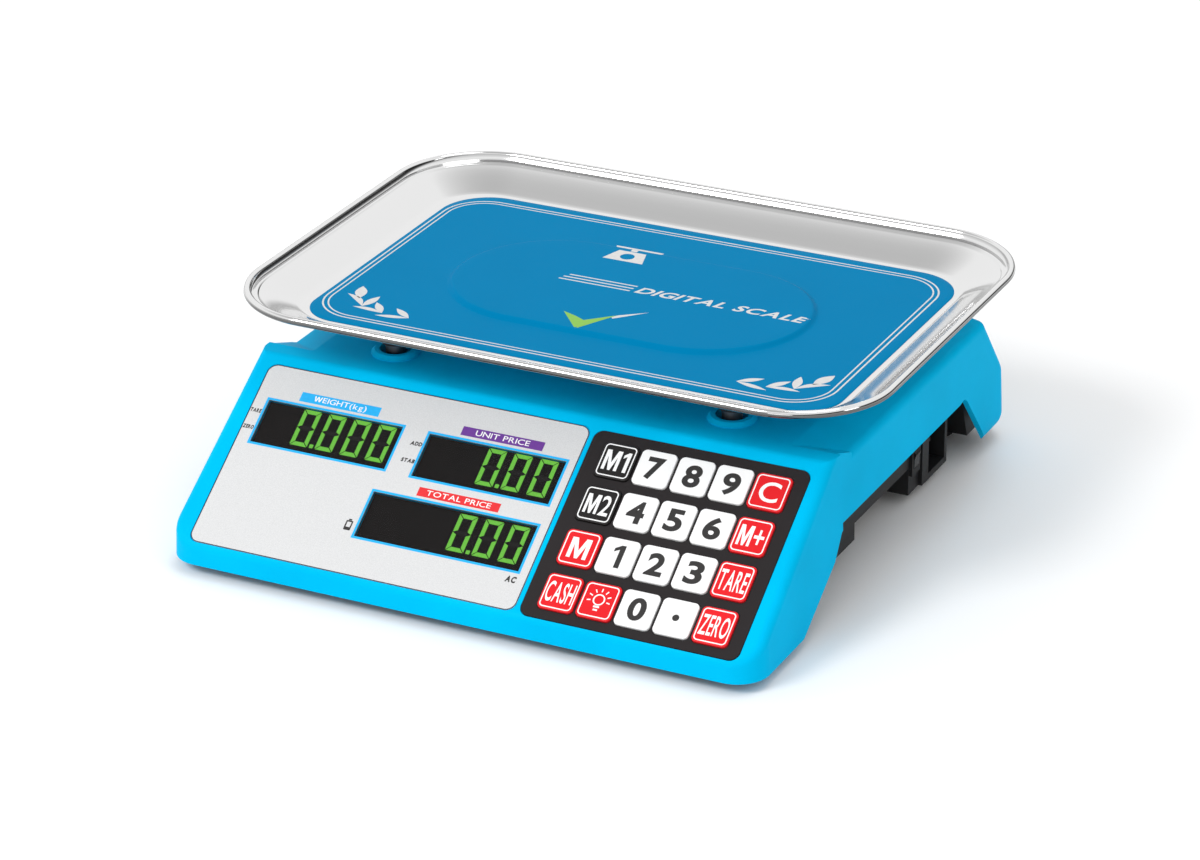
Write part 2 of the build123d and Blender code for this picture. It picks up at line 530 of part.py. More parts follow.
def foot(x, y):
    """Levelling foot: soft pad moulded on a threaded stem, drawn without its thread."""
    pad = fillet(rod(x, y, 0, FOOT_PAD_H, FOOT_PAD_R).edges(), 1.0)
    return pad + rod(x, y, FOOT_PAD_H - 1, 19.0, FOOT_STEM_R)


def housing_screws():
    """Six screws that hold the tray to the housing."""
    return Compound(children=[
        bolt(x, y, base_floor(x, y) + 3.0, screw_tip_z(x, y), SCREW_R, SCREW_HEAD_R, 2.0)
        for x, y in HOUSING_POSTS])


def panel_screw(plane, u, v, w_seat, w_tip):
    """Small screw driven outward along a panel's normal into its boss."""
    return stud(plane, u, v, w_seat - 0.2, w_tip, BOARD_SCREW_R) + stud(plane, u, v, w_seat - 1.2, w_seat, BOARD_HEAD_R)


def board_screws():
    """Small screws of the display and keypad boards."""
    seat = BOARD_TOP - BOARD_T
    screws = [panel_screw(PANEL, u, v, seat, seat + 6) for u, v in DISPLAY_SCREWS]
    screws += [panel_screw(REAR_FACE, p, q, seat, seat + 6) for p, q in REAR_SCREWS]
    screws += [panel_screw(PANEL, u, v, MAT_BASE - BOARD_T, BEZEL_TOP - BEZEL_T - 0.2) for u, v in KEY_SCREWS]
    return Compound(children=screws)


def bubble_level():
    """Round bubble level let into the deck under the pan."""
    vial = rod(*LEVEL_AT, DECK_Z - WALL, DECK_Z + 3.0, LEVEL_R)
    return fillet(vial.edges().group_by(Axis.Z)[-1], 1.5)


def main():
    """Write every node."""
    os.makedirs("parts", exist_ok=True)
    save("upper_housing", upper_housing())
    save("display_panel", overlay(PANEL, OVERLAY, WINDOWS.values()))
    save("rear_display_panel", overlay(REAR_FACE, REAR_PANEL, REAR_WINDOWS.values()))
    for name, limits in WINDOWS.items():
        save(name + "_window", lens(PANEL, limits))
        save(name + "_led_display", led_module(PANEL, limits))
    save("rear_windows", Compound(children=[lens(REAR_FACE, w) for w in REAR_WINDOWS.values()]))
    save("rear_led_displays", Compound(children=[led_module(REAR_FACE, w) for w in REAR_WINDOWS.values()]))
    save("display_board", board(PANEL, DISPLAY_BOARD, BOARD_TOP, DISPLAY_SCREWS))
    save("rear_display_board", board(REAR_FACE, REAR_BOARD, BOARD_TOP, REAR_SCREWS))
    save("keypad_board", board(PANEL, KEYPAD_BOARD, MAT_BASE, KEY_SCREWS))
    save("keypad_bezel", keypad_bezel())
    save("keypad_dome_mat", keypad_dome_mat())
    for row, v in zip(KEY_NAMES, KEY_V):
        for name, u in zip(row, KEY_U):
            save(name, key(u, v))
    save("weighing_pan", weighing_pan())
    save("pan_film", pan_film())
    save("pan_support", pan_support())
    save("pan_support_caps", pan_support_caps())
    save("load_cell", load_cell())
    save("load_cell_bolts", Compound(children=[
        bolt(-x, PAN_Y, CELL_SEAT_Z, CELL_Z + 14, CELL_BOLT_R, 5.0, 5.0) for x in CELL_BOLT_X]))
    save("platform_bolts", Compound(children=[
        bolt(x, PAN_Y, SPIDER_Z + SPIDER_T, CELL_Z + 8, CELL_BOLT_R, 5.0, 5.0) for x in CELL_BOLT_X]))
    save("base_housing", base_housing())
    save("battery_cover", battery_cover())
    save("battery", battery())
    save("transformer", transformer())
    save("main_board", main_board())
    save("power_inlet", power_inlet())
    save("power_switch_body", power_switch_body())
    save("power_rocker", power_rocker())
    for name, (x, y) in FEET.items():
        save("foot_" + name, foot(x, y))
    save("housing_screws", housing_screws())
    save("board_screws", board_screws())
    save("bubble_level", bubble_level())


main()
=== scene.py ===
"""Looks of the retail price scale: blue moulded body, silver face sheet with LED windows, black keypad
with twenty keys, and a stainless pan with a printed blue film. Metres; helper sizes are millimetres."""
import json
import math
import bmesh
import bpy
from mathutils import Matrix, Vector


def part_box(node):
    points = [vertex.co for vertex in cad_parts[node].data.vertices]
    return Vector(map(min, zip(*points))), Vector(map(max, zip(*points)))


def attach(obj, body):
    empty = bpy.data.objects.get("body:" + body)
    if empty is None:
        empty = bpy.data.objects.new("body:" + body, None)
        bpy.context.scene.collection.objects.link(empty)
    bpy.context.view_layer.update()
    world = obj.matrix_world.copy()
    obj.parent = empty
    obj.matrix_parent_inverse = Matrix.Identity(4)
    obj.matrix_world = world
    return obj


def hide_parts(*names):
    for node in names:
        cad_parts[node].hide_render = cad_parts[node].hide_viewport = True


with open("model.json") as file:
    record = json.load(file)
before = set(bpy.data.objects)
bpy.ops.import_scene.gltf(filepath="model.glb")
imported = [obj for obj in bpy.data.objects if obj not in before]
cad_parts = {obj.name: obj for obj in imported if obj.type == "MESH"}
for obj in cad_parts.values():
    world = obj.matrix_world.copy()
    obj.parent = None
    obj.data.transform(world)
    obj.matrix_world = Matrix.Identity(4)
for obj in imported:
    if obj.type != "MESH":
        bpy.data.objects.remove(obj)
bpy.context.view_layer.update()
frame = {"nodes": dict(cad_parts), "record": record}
MM = 0.001

# ---- camera: the viewing angle of a product shot, from the front right and above -----------------
CAMERA_AT = (0.85253, -1.7172, 0.92287)
AZIMUTH, ELEVATION, ROLL = 26.4464, 24.8145, -0.47
LENS_MM = 129.09

# ---- colours, linear -----------------------------------------------------------------------------
BLUE = (0.0, 0.48, 0.82, 1)
FILM = (0.0, 0.19, 0.4, 1)
CYAN = (0.0, 0.42, 0.86, 1)
PURPLE = (0.135, 0.026, 0.284, 1)
RED = (0.74, 0.012, 0.018, 1)
INK_BLACK = (0.016, 0.014, 0.014, 1)
WHITE = (0.90, 0.90, 0.90, 1)
SILVER_INK = (0.62, 0.615, 0.61, 1)
LED_GREEN = (0.15, 0.52, 0.055, 1)
LEAF_GREEN = (0.20, 0.47, 0.03, 1)

# ---- panel layout, millimetres: u to the right, v up the slope from the front edge ---------------
SLOPE = math.radians(35.0)
REAR_SLOPE = math.radians(53.7)
OVERLAY_U0, OVERLAY_U1 = -142.4, 31.7
OVERLAY_V0, OVERLAY_V1 = 2.75, 104.5
# second value: width of the black line painted round the face sheet's edge, a painted shadow of the gap in
# its recess
OVERLAY_R, EDGE_SHADOW_W = 5.0, 0.35
WINDOW_FRAME = 1.2        # width of the printed frame round a window
REAR_Q0, REAR_Q1 = 18.0, 58.0
WINDOWS = {
    "weight": (-134.6, -60.9, 60.8, 84.9),
    "unit_price": (-46.2, 26.5, 60.3, 84.3),
    "total_price": (-61.0, 26.1, 23.2, 48.3),
}
REAR_WINDOWS = [(-110.0, -44.0, 27.0, 49.0), (-33.0, 33.0, 27.0, 49.0), (44.0, 110.0, 27.0, 49.0)]
LED_W = -1.6              # face of the LED modules under the panel's face
DIGIT_PITCH, DIGIT_W, DIGIT_H = 13.7, 9.4, 20.0
DIGITS = {"weight": (-114.9, 64.4, 4), "unit_price": (-14.4, 63.8, 3), "total_price": (-14.4, 27.0, 3)}
REAR_DIGIT_H, REAR_MARGIN = 16.0, 3.5
KEY_U = [51.0 + 19.53 * i for i in range(5)]
KEY_V = [16.6 + 24.13 * i for i in range(4)]
KEY_W, KEY_H, KEY_R, KEY_TOP = 18.0, 18.9, 2.6, 1.3
KEYS = [
    [("key_cash", "CASH"), ("key_lamp", None), ("key_0", "0"), ("key_point", "."), ("key_zero", "ZERO")],
    [("key_m", "M"), ("key_1", "1"), ("key_2", "2"), ("key_3", "3"), ("key_tare", "TARE")],
    [("key_m2", "M2"), ("key_4", "4"), ("key_5", "5"), ("key_6", "6"), ("key_m_plus", "M+")],
    [("key_m1", "M1"), ("key_7", "7"), ("key_8", "8"), ("key_9", "9"), ("key_c", "C")],
]
INK_T = 0.04              # thickness of printed ink
LIT_T, UNLIT_T = 0.12, 0.06
STROKE = 2.1              # width of a digit's segments at full height


# ---- frames of reference -------------------------------------------------------------------------
class Surface:
    """A flat face: turns (u, v, w) in millimetres into a point of the row frame in metres."""

    def __init__(self, origin, right, up):
        self.origin, self.right, self.up = Vector(origin), Vector(right), Vector(up)
        self.normal = self.right.cross(self.up)

    def at(self, u, v, w=0.0):
        return self.origin + (self.right * u + self.up * v + self.normal * w) * MM


def panel_surface():
    """Operator panel's plane, found from the face sheet."""
    low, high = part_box("display_panel")
    c, s = math.cos(SLOPE), math.sin(SLOPE)
    return Surface((0, low.y - OVERLAY_V0 * c * MM, high.z - OVERLAY_V1 * s * MM), (1, 0, 0), (0, c, s))


def rear_surface():
    """Customer panel's plane, found from its face sheet."""
    low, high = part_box("rear_display_panel")
    c, s = math.cos(REAR_SLOPE), math.sin(REAR_SLOPE)
    return Surface((0, high.y + REAR_Q0 * c * MM, high.z - REAR_Q1 * s * MM), (-1, 0, 0), (0, -c, s))


PANEL = panel_surface()
REAR = rear_surface()


# ---- materials -----------------------------------------------------------------------------------
def new_material(name, color, roughness=0.4, metallic=0.0, ior=1.5):
    """Principled material with its plain values on the shader's own sockets."""
    material = bpy.data.materials.new(name)
    material.use_nodes = True
    material.diffuse_color = color
    shader = material.node_tree.nodes["Principled BSDF"]
    shader.inputs["Base Color"].default_value = color
    shader.inputs["Roughness"].default_value = roughness
    shader.inputs["Metallic"].default_value = metallic
    shader.inputs["IOR"].default_value = ior
    return material


def nodes_of(material):
    """The material's node list, link list and shader."""
    tree = material.node_tree
    return tree.nodes, tree.links, tree.nodes["Principled BSDF"]


def noise(material, scale, detail=3.0, stretch=None):
    """Noise texture on object coordinates, optionally stretched for a grain."""
    nodes, links, _ = nodes_of(material)
    coords = nodes.new("ShaderNodeTexCoord")
    texture = nodes.new("ShaderNodeTexNoise")
    texture.inputs["Scale"].default_value = scale
    texture.inputs["Detail"].default_value = detail
    source = coords.outputs["Object"]
    if stretch:
        mapping = nodes.new("ShaderNodeMapping")
        mapping.inputs["Scale"].default_value = stretch
        links.new(source, mapping.inputs["Vector"])
        source = mapping.outputs["Vector"]
    links.new(source, texture.inputs["Vector"])
    return texture


def vary_color(material, texture, dark, light, low=0.3, high=0.7):
    """Base colour that wanders between two near shades."""
    nodes, links, shader = nodes_of(material)
    ramp = nodes.new("ShaderNodeValToRGB")
    ramp.color_ramp.elements[0].position = low
    ramp.color_ramp.elements[1].position = high
    ramp.color_ramp.elements[0].color = dark
    ramp.color_ramp.elements[1].color = light
    links.new(texture.outputs["Fac"], ramp.inputs["Fac"])
    links.new(ramp.outputs["Color"], shader.inputs["Base Color"])


def vary_roughness(material, texture, low, high):
    """Roughness that follows a texture."""
    nodes, links, shader = nodes_of(material)
    span = nodes.new("ShaderNodeMapRange")
    span.inputs["To Min"].default_value = low
    span.inputs["To Max"].default_value = high
    links.new(texture.outputs["Fac"], span.inputs["Value"])
    links.new(span.outputs["Result"], shader.inputs["Roughness"])


def add_bump(material, texture, strength, distance):
    """Fine relief from a texture."""
    nodes, links, shader = nodes_of(material)
    bump = nodes.new("ShaderNodeBump")
    bump.inputs["Strength"].default_value = strength
    bump.inputs["Distance"].default_value = distance
    links.new(texture.outputs["Fac"], bump.inputs["Height"])
    links.new(bump.outputs["Normal"], shader.inputs["Normal"])


def grey_stops(ramp, stops):
    """Sets a colour ramp to grey values at the given (position, value) stops."""
    for position, _ in stops[1:-1]:
        ramp.color_ramp.elements.new(position)
    for element, (position, value) in zip(ramp.color_ramp.elements, stops):
        element.position, element.color = position, (value, value, value, 1)


def shade(color, factor):
    """The colour made darker or lighter."""
    return tuple(min(1.0, c * factor) for c in color[:3]) + (1,)


def moulded(name, color, roughness, grain=1800.0, strength=0.12, spread=0.05, ior=1.3):
    """Moulded plastic: slight shade drift and a fine spark-eroded grain."""
    material = new_material(name, color, roughness, ior=ior)
    vary_color(material, noise(material, 22.0), shade(color, 1 - spread), shade(color, 1 + spread))
    grain_texture = noise(material, grain, 2.0)
    vary_roughness(material, grain_texture, roughness - 0.05, roughness + 0.08)
    add_bump(material, grain_texture, strength, 0.00004)
    return material


def metal(name, color, roughness, stretch, strength):
    """Metal with a directional grain."""
    material = new_material(name, color, roughness, metallic=1.0)
    grain = noise(material, 900.0, 3.0, stretch)
    vary_roughness(material, grain, roughness - 0.04, roughness + 0.04)
    add_bump(material, grain, strength, 0.00002)
    return material


def stainless():
    """Bright pressed stainless steel whose base colour carries painted reflections: darker where it is
    upright or turns outward and down.
    """
    material = new_material("stainless", (0.86, 0.86, 0.87, 1), 0.1, metallic=1.0)
    vary_roughness(material, noise(material, 900.0, 3.0, (1.0, 14.0, 14.0)), 0.08, 0.12)
    nodes, links, shader = nodes_of(material)
    geometry = nodes.new("ShaderNodeNewGeometry")
    split = nodes.new("ShaderNodeSeparateXYZ")
    ramp = nodes.new("ShaderNodeValToRGB")
    # painted reflection in the base colour: light on faces turned up or straight down, dark on upright and
    # outward-down faces
    stops = ((0.0, 0.8), (0.06, 0.6), (0.2, 0.16), (0.5, 0.14), (0.62, 0.25), (0.78, 0.83), (1.0, 0.86))
    grey_stops(ramp, stops)
    upward = nodes.new("ShaderNodeMapRange")
    upward.inputs["From Min"].default_value = -1.0
    links.new(geometry.outputs["Normal"], split.inputs["Vector"])
    links.new(split.outputs["Z"], upward.inputs["Value"])
    links.new(upward.outputs["Result"], ramp.inputs["Fac"])
    links.new(ramp.outputs["Color"], shader.inputs["Base Color"])
    return material


def ink(name, color, roughness=0.38):
    """Screen-printed ink with a slight unevenness."""
    material = new_material(name, color, roughness)
    patches = noise(material, 700.0, 2.0)
    vary_color(material, patches, shade(color, 0.95), shade(color, 1.04))
    vary_roughness(material, patches, roughness - 0.05, roughness + 0.06)
    return material


def silver_sheet():
    """Silver-printed face sheet: pearly grain of small light and dark flakes."""
    material = new_material("panel_silver", (0.66, 0.66, 0.67, 1), 0.42, metallic=0.1)
    flakes = noise(material, 2600.0, 4.0)
    vary_color(material, flakes, (0.56, 0.565, 0.57, 1), (0.72, 0.725, 0.73, 1), 0.25, 0.75)
    vary_roughness(material, flakes, 0.32, 0.5)
    add_bump(material, flakes, 0.08, 0.00002)
    return material


def smoked_window():
    """Glossy tinted lens."""
    material = new_material("window_tint", (0.012, 0.011, 0.011, 1), 0.06)
    _, _, shader = nodes_of(material)
    shader.inputs["Alpha"].default_value = 0.30
    shader.inputs["Specular IOR Level"].default_value = 0.15
    haze = noise(material, 300.0, 2.0)
    vary_roughness(material, haze, 0.04, 0.09)
    return material


def glowing(name, color, strength):
    """Lit LED segment, with a soft mottling in its diffuser."""
    material = new_material(name, color, 0.4)
    _, links, shader = nodes_of(material)
    vary_color(material, noise(material, 900.0), shade(color, 0.94), shade(color, 1.05))
    ramp = material.node_tree.nodes["Color Ramp"]
    links.new(ramp.outputs["Color"], shader.inputs["Emission Color"])
    shader.inputs["Emission Strength"].default_value = strength
    return material


def circuit_board():
    """Green solder resist with fine copper traces showing through."""
    material = new_material("circuit_board", (0.02, 0.16, 0.06, 1), 0.3)
    traces = noise(material, 260.0, 1.0, (1.0, 6.0, 6.0))
    vary_color(material, traces, (0.012, 0.12, 0.04, 1), (0.04, 0.24, 0.09, 1), 0.48, 0.52)
    add_bump(material, traces, 0.2, 0.00004)
    return material


def build_materials():
    """One finished material for each material slot of the record, and the inks."""
    return {
        "housing_blue": moulded("housing_blue", BLUE, 0.42, ior=1.06),
        "base_black": moulded("base_black", (0.013, 0.013, 0.014, 1), 0.5, 1200.0, 0.35, 0.12),
        "panel_silver": silver_sheet(),
        "window_tint": smoked_window(),
        "led_black": moulded("led_black", (0.014, 0.012, 0.012, 1), 0.55),
        "circuit_board": circuit_board(),
        "keypad_black": moulded("keypad_black", (0.017, 0.014, 0.015, 1), 0.34, 1600.0, 0.15),
        "silicone": moulded("silicone", (0.42, 0.42, 0.43, 1), 0.6),
        "key_white": moulded("key_white", WHITE, 0.3, 1500.0, 0.08, 0.015),
        "key_red": moulded("key_red", RED, 0.3, 1500.0, 0.08, 0.03),
        "key_black": moulded("key_black", INK_BLACK, 0.3, 1500.0, 0.1, 0.05),
        "stainless": stainless(),
        "film_blue": moulded("film_blue", FILM, 0.3, 1100.0, 0.02, 0.015, 1.05),
        "support_metal": metal("support_metal", (0.16, 0.16, 0.17, 1), 0.42, (1.0, 8.0, 8.0), 0.2),
        "rubber_black": moulded("rubber_black", (0.02, 0.02, 0.021, 1), 0.7, 900.0, 0.4, 0.1),
        "steel_zinc": metal("steel_zinc", (0.56, 0.57, 0.58, 1), 0.3, (6.0, 6.0, 1.0), 0.15),
        "battery_case": moulded("battery_case", (0.05, 0.05, 0.055, 1), 0.5, 900.0, 0.3, 0.1),
        "switch_black": moulded("switch_black", (0.018, 0.018, 0.019, 1), 0.26),
        "level_glass": moulded("level_glass", (0.40, 0.72, 0.12, 1), 0.08, 600.0, 0.02),
        "ink_black": ink("ink_black", INK_BLACK),
        "ink_white": ink("ink_white", WHITE),
        "ink_cyan": ink("ink_cyan", CYAN),
        "ink_purple": ink("ink_purple", PURPLE),
        "ink_red": ink("ink_red", RED),
        "ink_silver": ink("ink_silver", SILVER_INK, 0.45),
        "ink_green": ink("ink_green", LEAF_GREEN),
        "led_lit": glowing("led_lit", LED_GREEN, 1.5),
        "led_off": ink("led_off", (0.014, 0.013, 0.013, 1), 0.6),
    }


MATERIALS = build_materials()


# ---- mesh helpers --------------------------------------------------------------------------------
def piece_from_mesh(name, mesh, material, body, smooth=False):
    """Links a finished mesh as a piece that rides on a body."""
    mesh.materials.clear()
    mesh.materials.append(MATERIALS[material])
    mesh.polygons.foreach_set("use_smooth", [smooth] * len(mesh.polygons))
    obj = bpy.data.objects.new(name, mesh)
    bpy.context.scene.collection.objects.link(obj)
    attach(obj, body)
    return obj


def glyph_mesh(text, weight):
    """Flat mesh of one character in the built-in face, in its own units."""
    curve = bpy.data.curves.new("text", "FONT")
    curve.body, curve.offset, curve.resolution_u, curve.extrude = text, weight, 6, 0.5
    return baked(curve)


def baked(curve):
    """Mesh of a text or outline curve, which is then removed."""
    obj = bpy.data.objects.new("outline", curve)
    bpy.context.scene.collection.objects.link(obj)
    bpy.context.view_layer.update()
    mesh = bpy.data.meshes.new_from_object(obj.evaluated_get(bpy.context.evaluated_depsgraph_get()))
    bpy.data.objects.remove(obj)
    bpy.data.curves.remove(curve)
    return mesh


# heavy forms, one unit tall, of the characters that the built-in face does not thicken cleanly
HEAVY_FORMS = {
    "M": [(0, 0), (0, 1), (0.27, 1), (0.475, 0.38), (0.68, 1), (0.95, 1), (0.95, 0), (0.76, 0), (0.76, 0.68),
          (0.55, 0), (0.4, 0), (0.19, 0.68), (0.19, 0)],
    "W": [(0, 1), (0.19, 1), (0.33, 0.34), (0.5, 1), (0.7, 1), (0.87, 0.34), (1.01, 1), (1.2, 1), (0.97, 0),
          (0.77, 0), (0.6, 0.64), (0.43, 0), (0.23, 0)],
    "1": [(0, 0.68), (0, 0.84), (0.25, 1), (0.42, 1), (0.42, 0), (0.21, 0), (0.21, 0.8)],
}


def text_mesh(text, shear=0.0, weight=0.0):
    """Flat mesh of a line of text, its capitals one unit tall, set character by character."""
    capital = glyph_mesh("E", 0.0)
    cap = max(vertex.co.y for vertex in capital.vertices)
    bpy.data.meshes.remove(capital)
    line, pen = bmesh.new(), 0.0
    for character in text:
        if character == " ":
            pen += 0.45
            continue
        if character in HEAVY_FORMS:
            glyph, size = outline_mesh([HEAVY_FORMS[character]]), 1.0
        else:
            glyph, size = glyph_mesh(character, weight), 1.0 / cap
        left = min(vertex.co.x for vertex in glyph.vertices) * size
        right = max(vertex.co.x for vertex in glyph.vertices) * size
        for vertex in glyph.vertices:
            vertex.co.x = vertex.co.x * size - left + pen + shear * vertex.co.y * size
            vertex.co.y = vertex.co.y * size
        line.from_mesh(glyph)
        bpy.data.meshes.remove(glyph)
        pen += right - left + 0.14
    mesh = bpy.data.meshes.new("line")
    line.to_mesh(mesh)
    line.free()
    return mesh


def outline_mesh(loops):
    """Flat filled mesh of closed loops, holes kept open, in the loops' own units."""
    curve = bpy.data.curves.new("outline", "CURVE")
    curve.dimensions, curve.fill_mode, curve.extrude = "2D", "BOTH", 0.5
    for loop in loops:
        spline = curve.splines.new("POLY")
        spline.points.add(len(loop) - 1)
        for point, (u, v) in zip(spline.points, loop):
            point.co = (u, v, 0, 1)
        spline.use_cyclic_u = True
    return baked(curve)


class Artwork:
    """Collects printed shapes of one ink and makes them one thin piece on a face."""

    def __init__(self, name, place, material, body, slot_name, thickness=INK_T, longest=None):
        self.name, self.place, self.material = name, place, material
        self.body, self.slot_name = body, slot_name
        self.thickness, self.longest = thickness, longest
        self.bm = bmesh.new()

    def add(self, mesh, move):
        """Adds a flat mesh; move turns its (x, y) into (u, v)."""
        for vertex in mesh.vertices:
            u, v = move(vertex.co.x, vertex.co.y)
            vertex.co = (u, v, 0.0 if vertex.co.z < 0 else self.thickness)
        self.bm.from_mesh(mesh)
        bpy.data.meshes.remove(mesh)

    def loops(self, *loops):
        """Adds a filled shape bounded by the given loops."""
        self.add(outline_mesh(loops), lambda x, y: (x, y))

    def text(self, text, u0, u1, v0, v1, shear=0.0, weight=0.0):
        """Adds a line of text that fills the given rectangle."""
        mesh = text_mesh(text, shear, weight)
        xs = [vertex.co.x for vertex in mesh.vertices]
        ys = [vertex.co.y for vertex in mesh.vertices]
        x0, y0 = min(xs), min(ys)
        scale_x, scale_y = (u1 - u0) / (max(xs) - x0), (v1 - v0) / (max(ys) - y0)
        self.add(mesh, lambda x, y: (u0 + (x - x0) * scale_x, v0 + (y - y0) * scale_y))

    def finish(self):
        """Makes the piece."""
        bmesh.ops.remove_doubles(self.bm, verts=self.bm.verts, dist=0.0008)
        if self.longest:
            for _ in range(4):
                long_edges = [e for e in self.bm.edges if e.calc_length() > self.longest]
                if long_edges:
                    bmesh.ops.subdivide_edges(self.bm, edges=long_edges, cuts=1)
            bmesh.ops.triangulate(self.bm, faces=self.bm.faces)
        bmesh.ops.dissolve_degenerate(self.bm, dist=0.0004, edges=self.bm.edges)
        for vertex in self.bm.verts:
            vertex.co = self.place(*vertex.co)
        bmesh.ops.recalc_face_normals(self.bm, faces=self.bm.faces)
        mesh = bpy.data.meshes.new(self.name)
        self.bm.to_mesh(mesh)
        self.bm.free()
        return piece_from_mesh(self.name, mesh, self.material, self.body)


def rectangle(u0, u1, v0, v1):
    """Rectangle as a loop."""
    return [(u0, v0), (u1, v0), (u1, v1), (u0, v1)]


def rounded(cu, cv, half_u, half_v, radius, steps=8):
    """Rounded rectangle as a loop."""
    loop = []
    for k, (su, sv) in enumerate(((1, 1), (-1, 1), (-1, -1), (1, -1))):
        for i in range(steps + 1):
            angle = math.pi / 2 * (k + i / steps)
            loop.append((cu + su * (half_u - radius) + radius * math.cos(angle),
                         cv + sv * (half_v - radius) + radius * math.sin(angle)))
    return loop


def disc(cu, cv, radius, steps=28):
    """Circle as a loop."""
    angles = [2 * math.pi * i / steps for i in range(steps)]
    return [(cu + radius * math.cos(angle), cv + radius * math.sin(angle)) for angle in angles]


# ---- operator panel ------------------------------------------------------------------------------
def digit_segments(u, v, width, height, gap=0.3):
    """The seven segments of a digit as loops by their usual letters, mitred where they meet."""
    t, mid = STROKE * height / DIGIT_H, height / 2
    far = width - t
    corner = [(gap, height), (width - gap, height), (far - gap, height - t), (t + gap, height - t)]
    side = [(0, height - gap), (t, height - t - gap), (t, mid + t / 2 + gap / 2), (0, mid + gap / 2)]
    bar = [(t / 2 + gap, mid), (t + gap, mid + t / 2), (far - gap, mid + t / 2),
           (width - t / 2 - gap, mid), (far - gap, mid - t / 2), (t + gap, mid - t / 2)]

    def placed(loop, flip_x, flip_y):
        return [(u + (width - x if flip_x else x), v + (height - y if flip_y else y)) for x, y in loop]
    return {
        "a": placed(corner, False, False),
        "b": placed(side, True, False),
        "c": placed(side, True, True),
        "d": placed(corner, False, True),
        "e": placed(side, False, True),
        "f": placed(side, False, False),
        "g": placed(bar, False, False),
    }


def led_digits(name, surface, first, v, height, count):
    """Lit zeros from a left edge, a decimal point after the first, and the unlit middle bars."""
    width, pitch = DIGIT_W * height / DIGIT_H, DIGIT_PITCH * height / DIGIT_H

    def face(a, b, w):
        return surface.at(a, b, LED_W + w)
    lit = Artwork(name + "_lit", face, "led_lit", "housing", "led_black", LIT_T)
    off = Artwork(name + "_unlit", face, "led_off", "housing", "led_black", UNLIT_T)
    for i in range(count):
        segments = digit_segments(first + i * pitch, v, width, height)
        off.loops(segments["g"])
        for letter in "abcdef":
            lit.loops(segments[letter])
    lit.loops(rounded(first + (width + pitch) / 2, v + 1.1, 1.0, 1.0, 0.3, 2))
    return lit.finish(), off.finish()


def panel_art():
    """Everything printed on the operator's face sheet, and a black line painted round its edge as the shadow
    in its recess.
    """
    def art(name, material):
        return Artwork(name, PANEL.at, material, "housing", "panel_silver")

    def over_ink(u, v, w):
        return PANEL.at(u, v, INK_T + w)
    cyan = art("print_cyan", "ink_cyan")
    purple = art("print_purple", "ink_purple")
    red = art("print_red", "ink_red")
    # black ink for the printed words and icons, and also for the painted shadow line round the sheet's edge
    black = art("print_black_and_edge_shadow", "ink_black")
    label = Artwork("print_label_text", over_ink, "ink_white", "housing", "panel_silver")
    f = WINDOW_FRAME
    for u0, u1, v0, v1 in WINDOWS.values():
        cyan.loops(rectangle(u0 - f, u1 + f, v0 - f, v1 + f), rectangle(u0, u1, v0, v1))
    # banner ink, words, banner rectangle, words' side margin and lower margin
    labels = [
        (cyan, "WEIGHT(kg)", (-119.3, -75.8, 87.4, 92.6), 7.4, 0.5),
        (purple, "UNIT PRICE", (-31.0, 12.4, 86.9, 91.8), 7.4, 1.1),
        (red, "TOTAL PRICE", (-39.3, 4.0, 50.7, 55.5), 4.6, 1.1),
    ]
    for banner, words, (u0, u1, v0, v1), margin, below in labels:
        banner.loops(rectangle(u0, u1, v0, v1))
        label.text(words, u0 + margin, u1 - margin, v0 + below, v1 - 0.9, weight=0.006)
    indicators = [
        ("TARE", -141.8, -135.9, 76.8, 79.0),
        ("ZERO", -141.9, -136.0, 67.4, 69.6),
        ("ADD", -53.7, -47.5, 76.4, 78.6),
        ("STAB", -54.7, -47.5, 66.8, 69.0),
        ("AC", 21.4, 26.9, 16.8, 20.2),
    ]
    for words, u0, u1, v0, v1 in indicators:
        black.text(words, u0, u1, v0, v1, shear=0.1, weight=0.05)
    mid_u, half_u = (OVERLAY_U0 + OVERLAY_U1) / 2, (OVERLAY_U1 - OVERLAY_U0) / 2
    mid_v, half_v = (OVERLAY_V0 + OVERLAY_V1) / 2, (OVERLAY_V1 - OVERLAY_V0) / 2
    # painted shadow: a thin black line round the face sheet's edge stands for the shade in the gap of its
    # recess
    line = EDGE_SHADOW_W
    black.loops(rounded(mid_u, mid_v, half_u, half_v, OVERLAY_R),
                rounded(mid_u, mid_v, half_u - line, half_v - line, OVERLAY_R - line))
    black.loops(rounded(-66.0, 28.0, 1.8, 2.6, 0.4, 3), rounded(-66.0, 28.5, 1.1, 1.4, 0.2, 3))
    black.loops(rectangle(-66.8, -65.2, 30.7, 31.5))
    for piece in (cyan, purple, red, black, label):
        piece.finish()


def balance_icon(art, cu, cv, size):
    """Small generic counter-scale sign: a dish over a column and a body with a round dial."""
    s = size / 10.0
    dish = [(cu - 6 * s * math.cos(math.pi * i / 14), cv + 4.6 * s - 2.3 * s * math.sin(math.pi * i / 14))
            for i in range(15)]
    art.loops(dish)
    art.loops(rectangle(cu - 0.8 * s, cu + 0.8 * s, cv + 0.9 * s, cv + 2.0 * s))
    art.loops([(cu - 5 * s, cv - 5 * s), (cu + 5 * s, cv - 5 * s), (cu + 3.4 * s, cv + 0.6 * s),
               (cu - 3.4 * s, cv + 0.6 * s)], disc(cu, cv - 2.3 * s, 1.7 * s))


def key_art():
    """Legends on the keys: black figures on white keys, white outlines and legends on the others."""
    for row, v in zip(KEYS, KEY_V):
        for (node, legend), u in zip(row, KEY_U):
            if legend is not None and legend in "0123456789.":
                white_key_art(node, legend, u, v)
            else:
                outlined_key_art(node, legend, u, v)


def key_face(u, v, w):
    """Point over the keys' tops."""
    return PANEL.at(u, v, KEY_TOP + w)


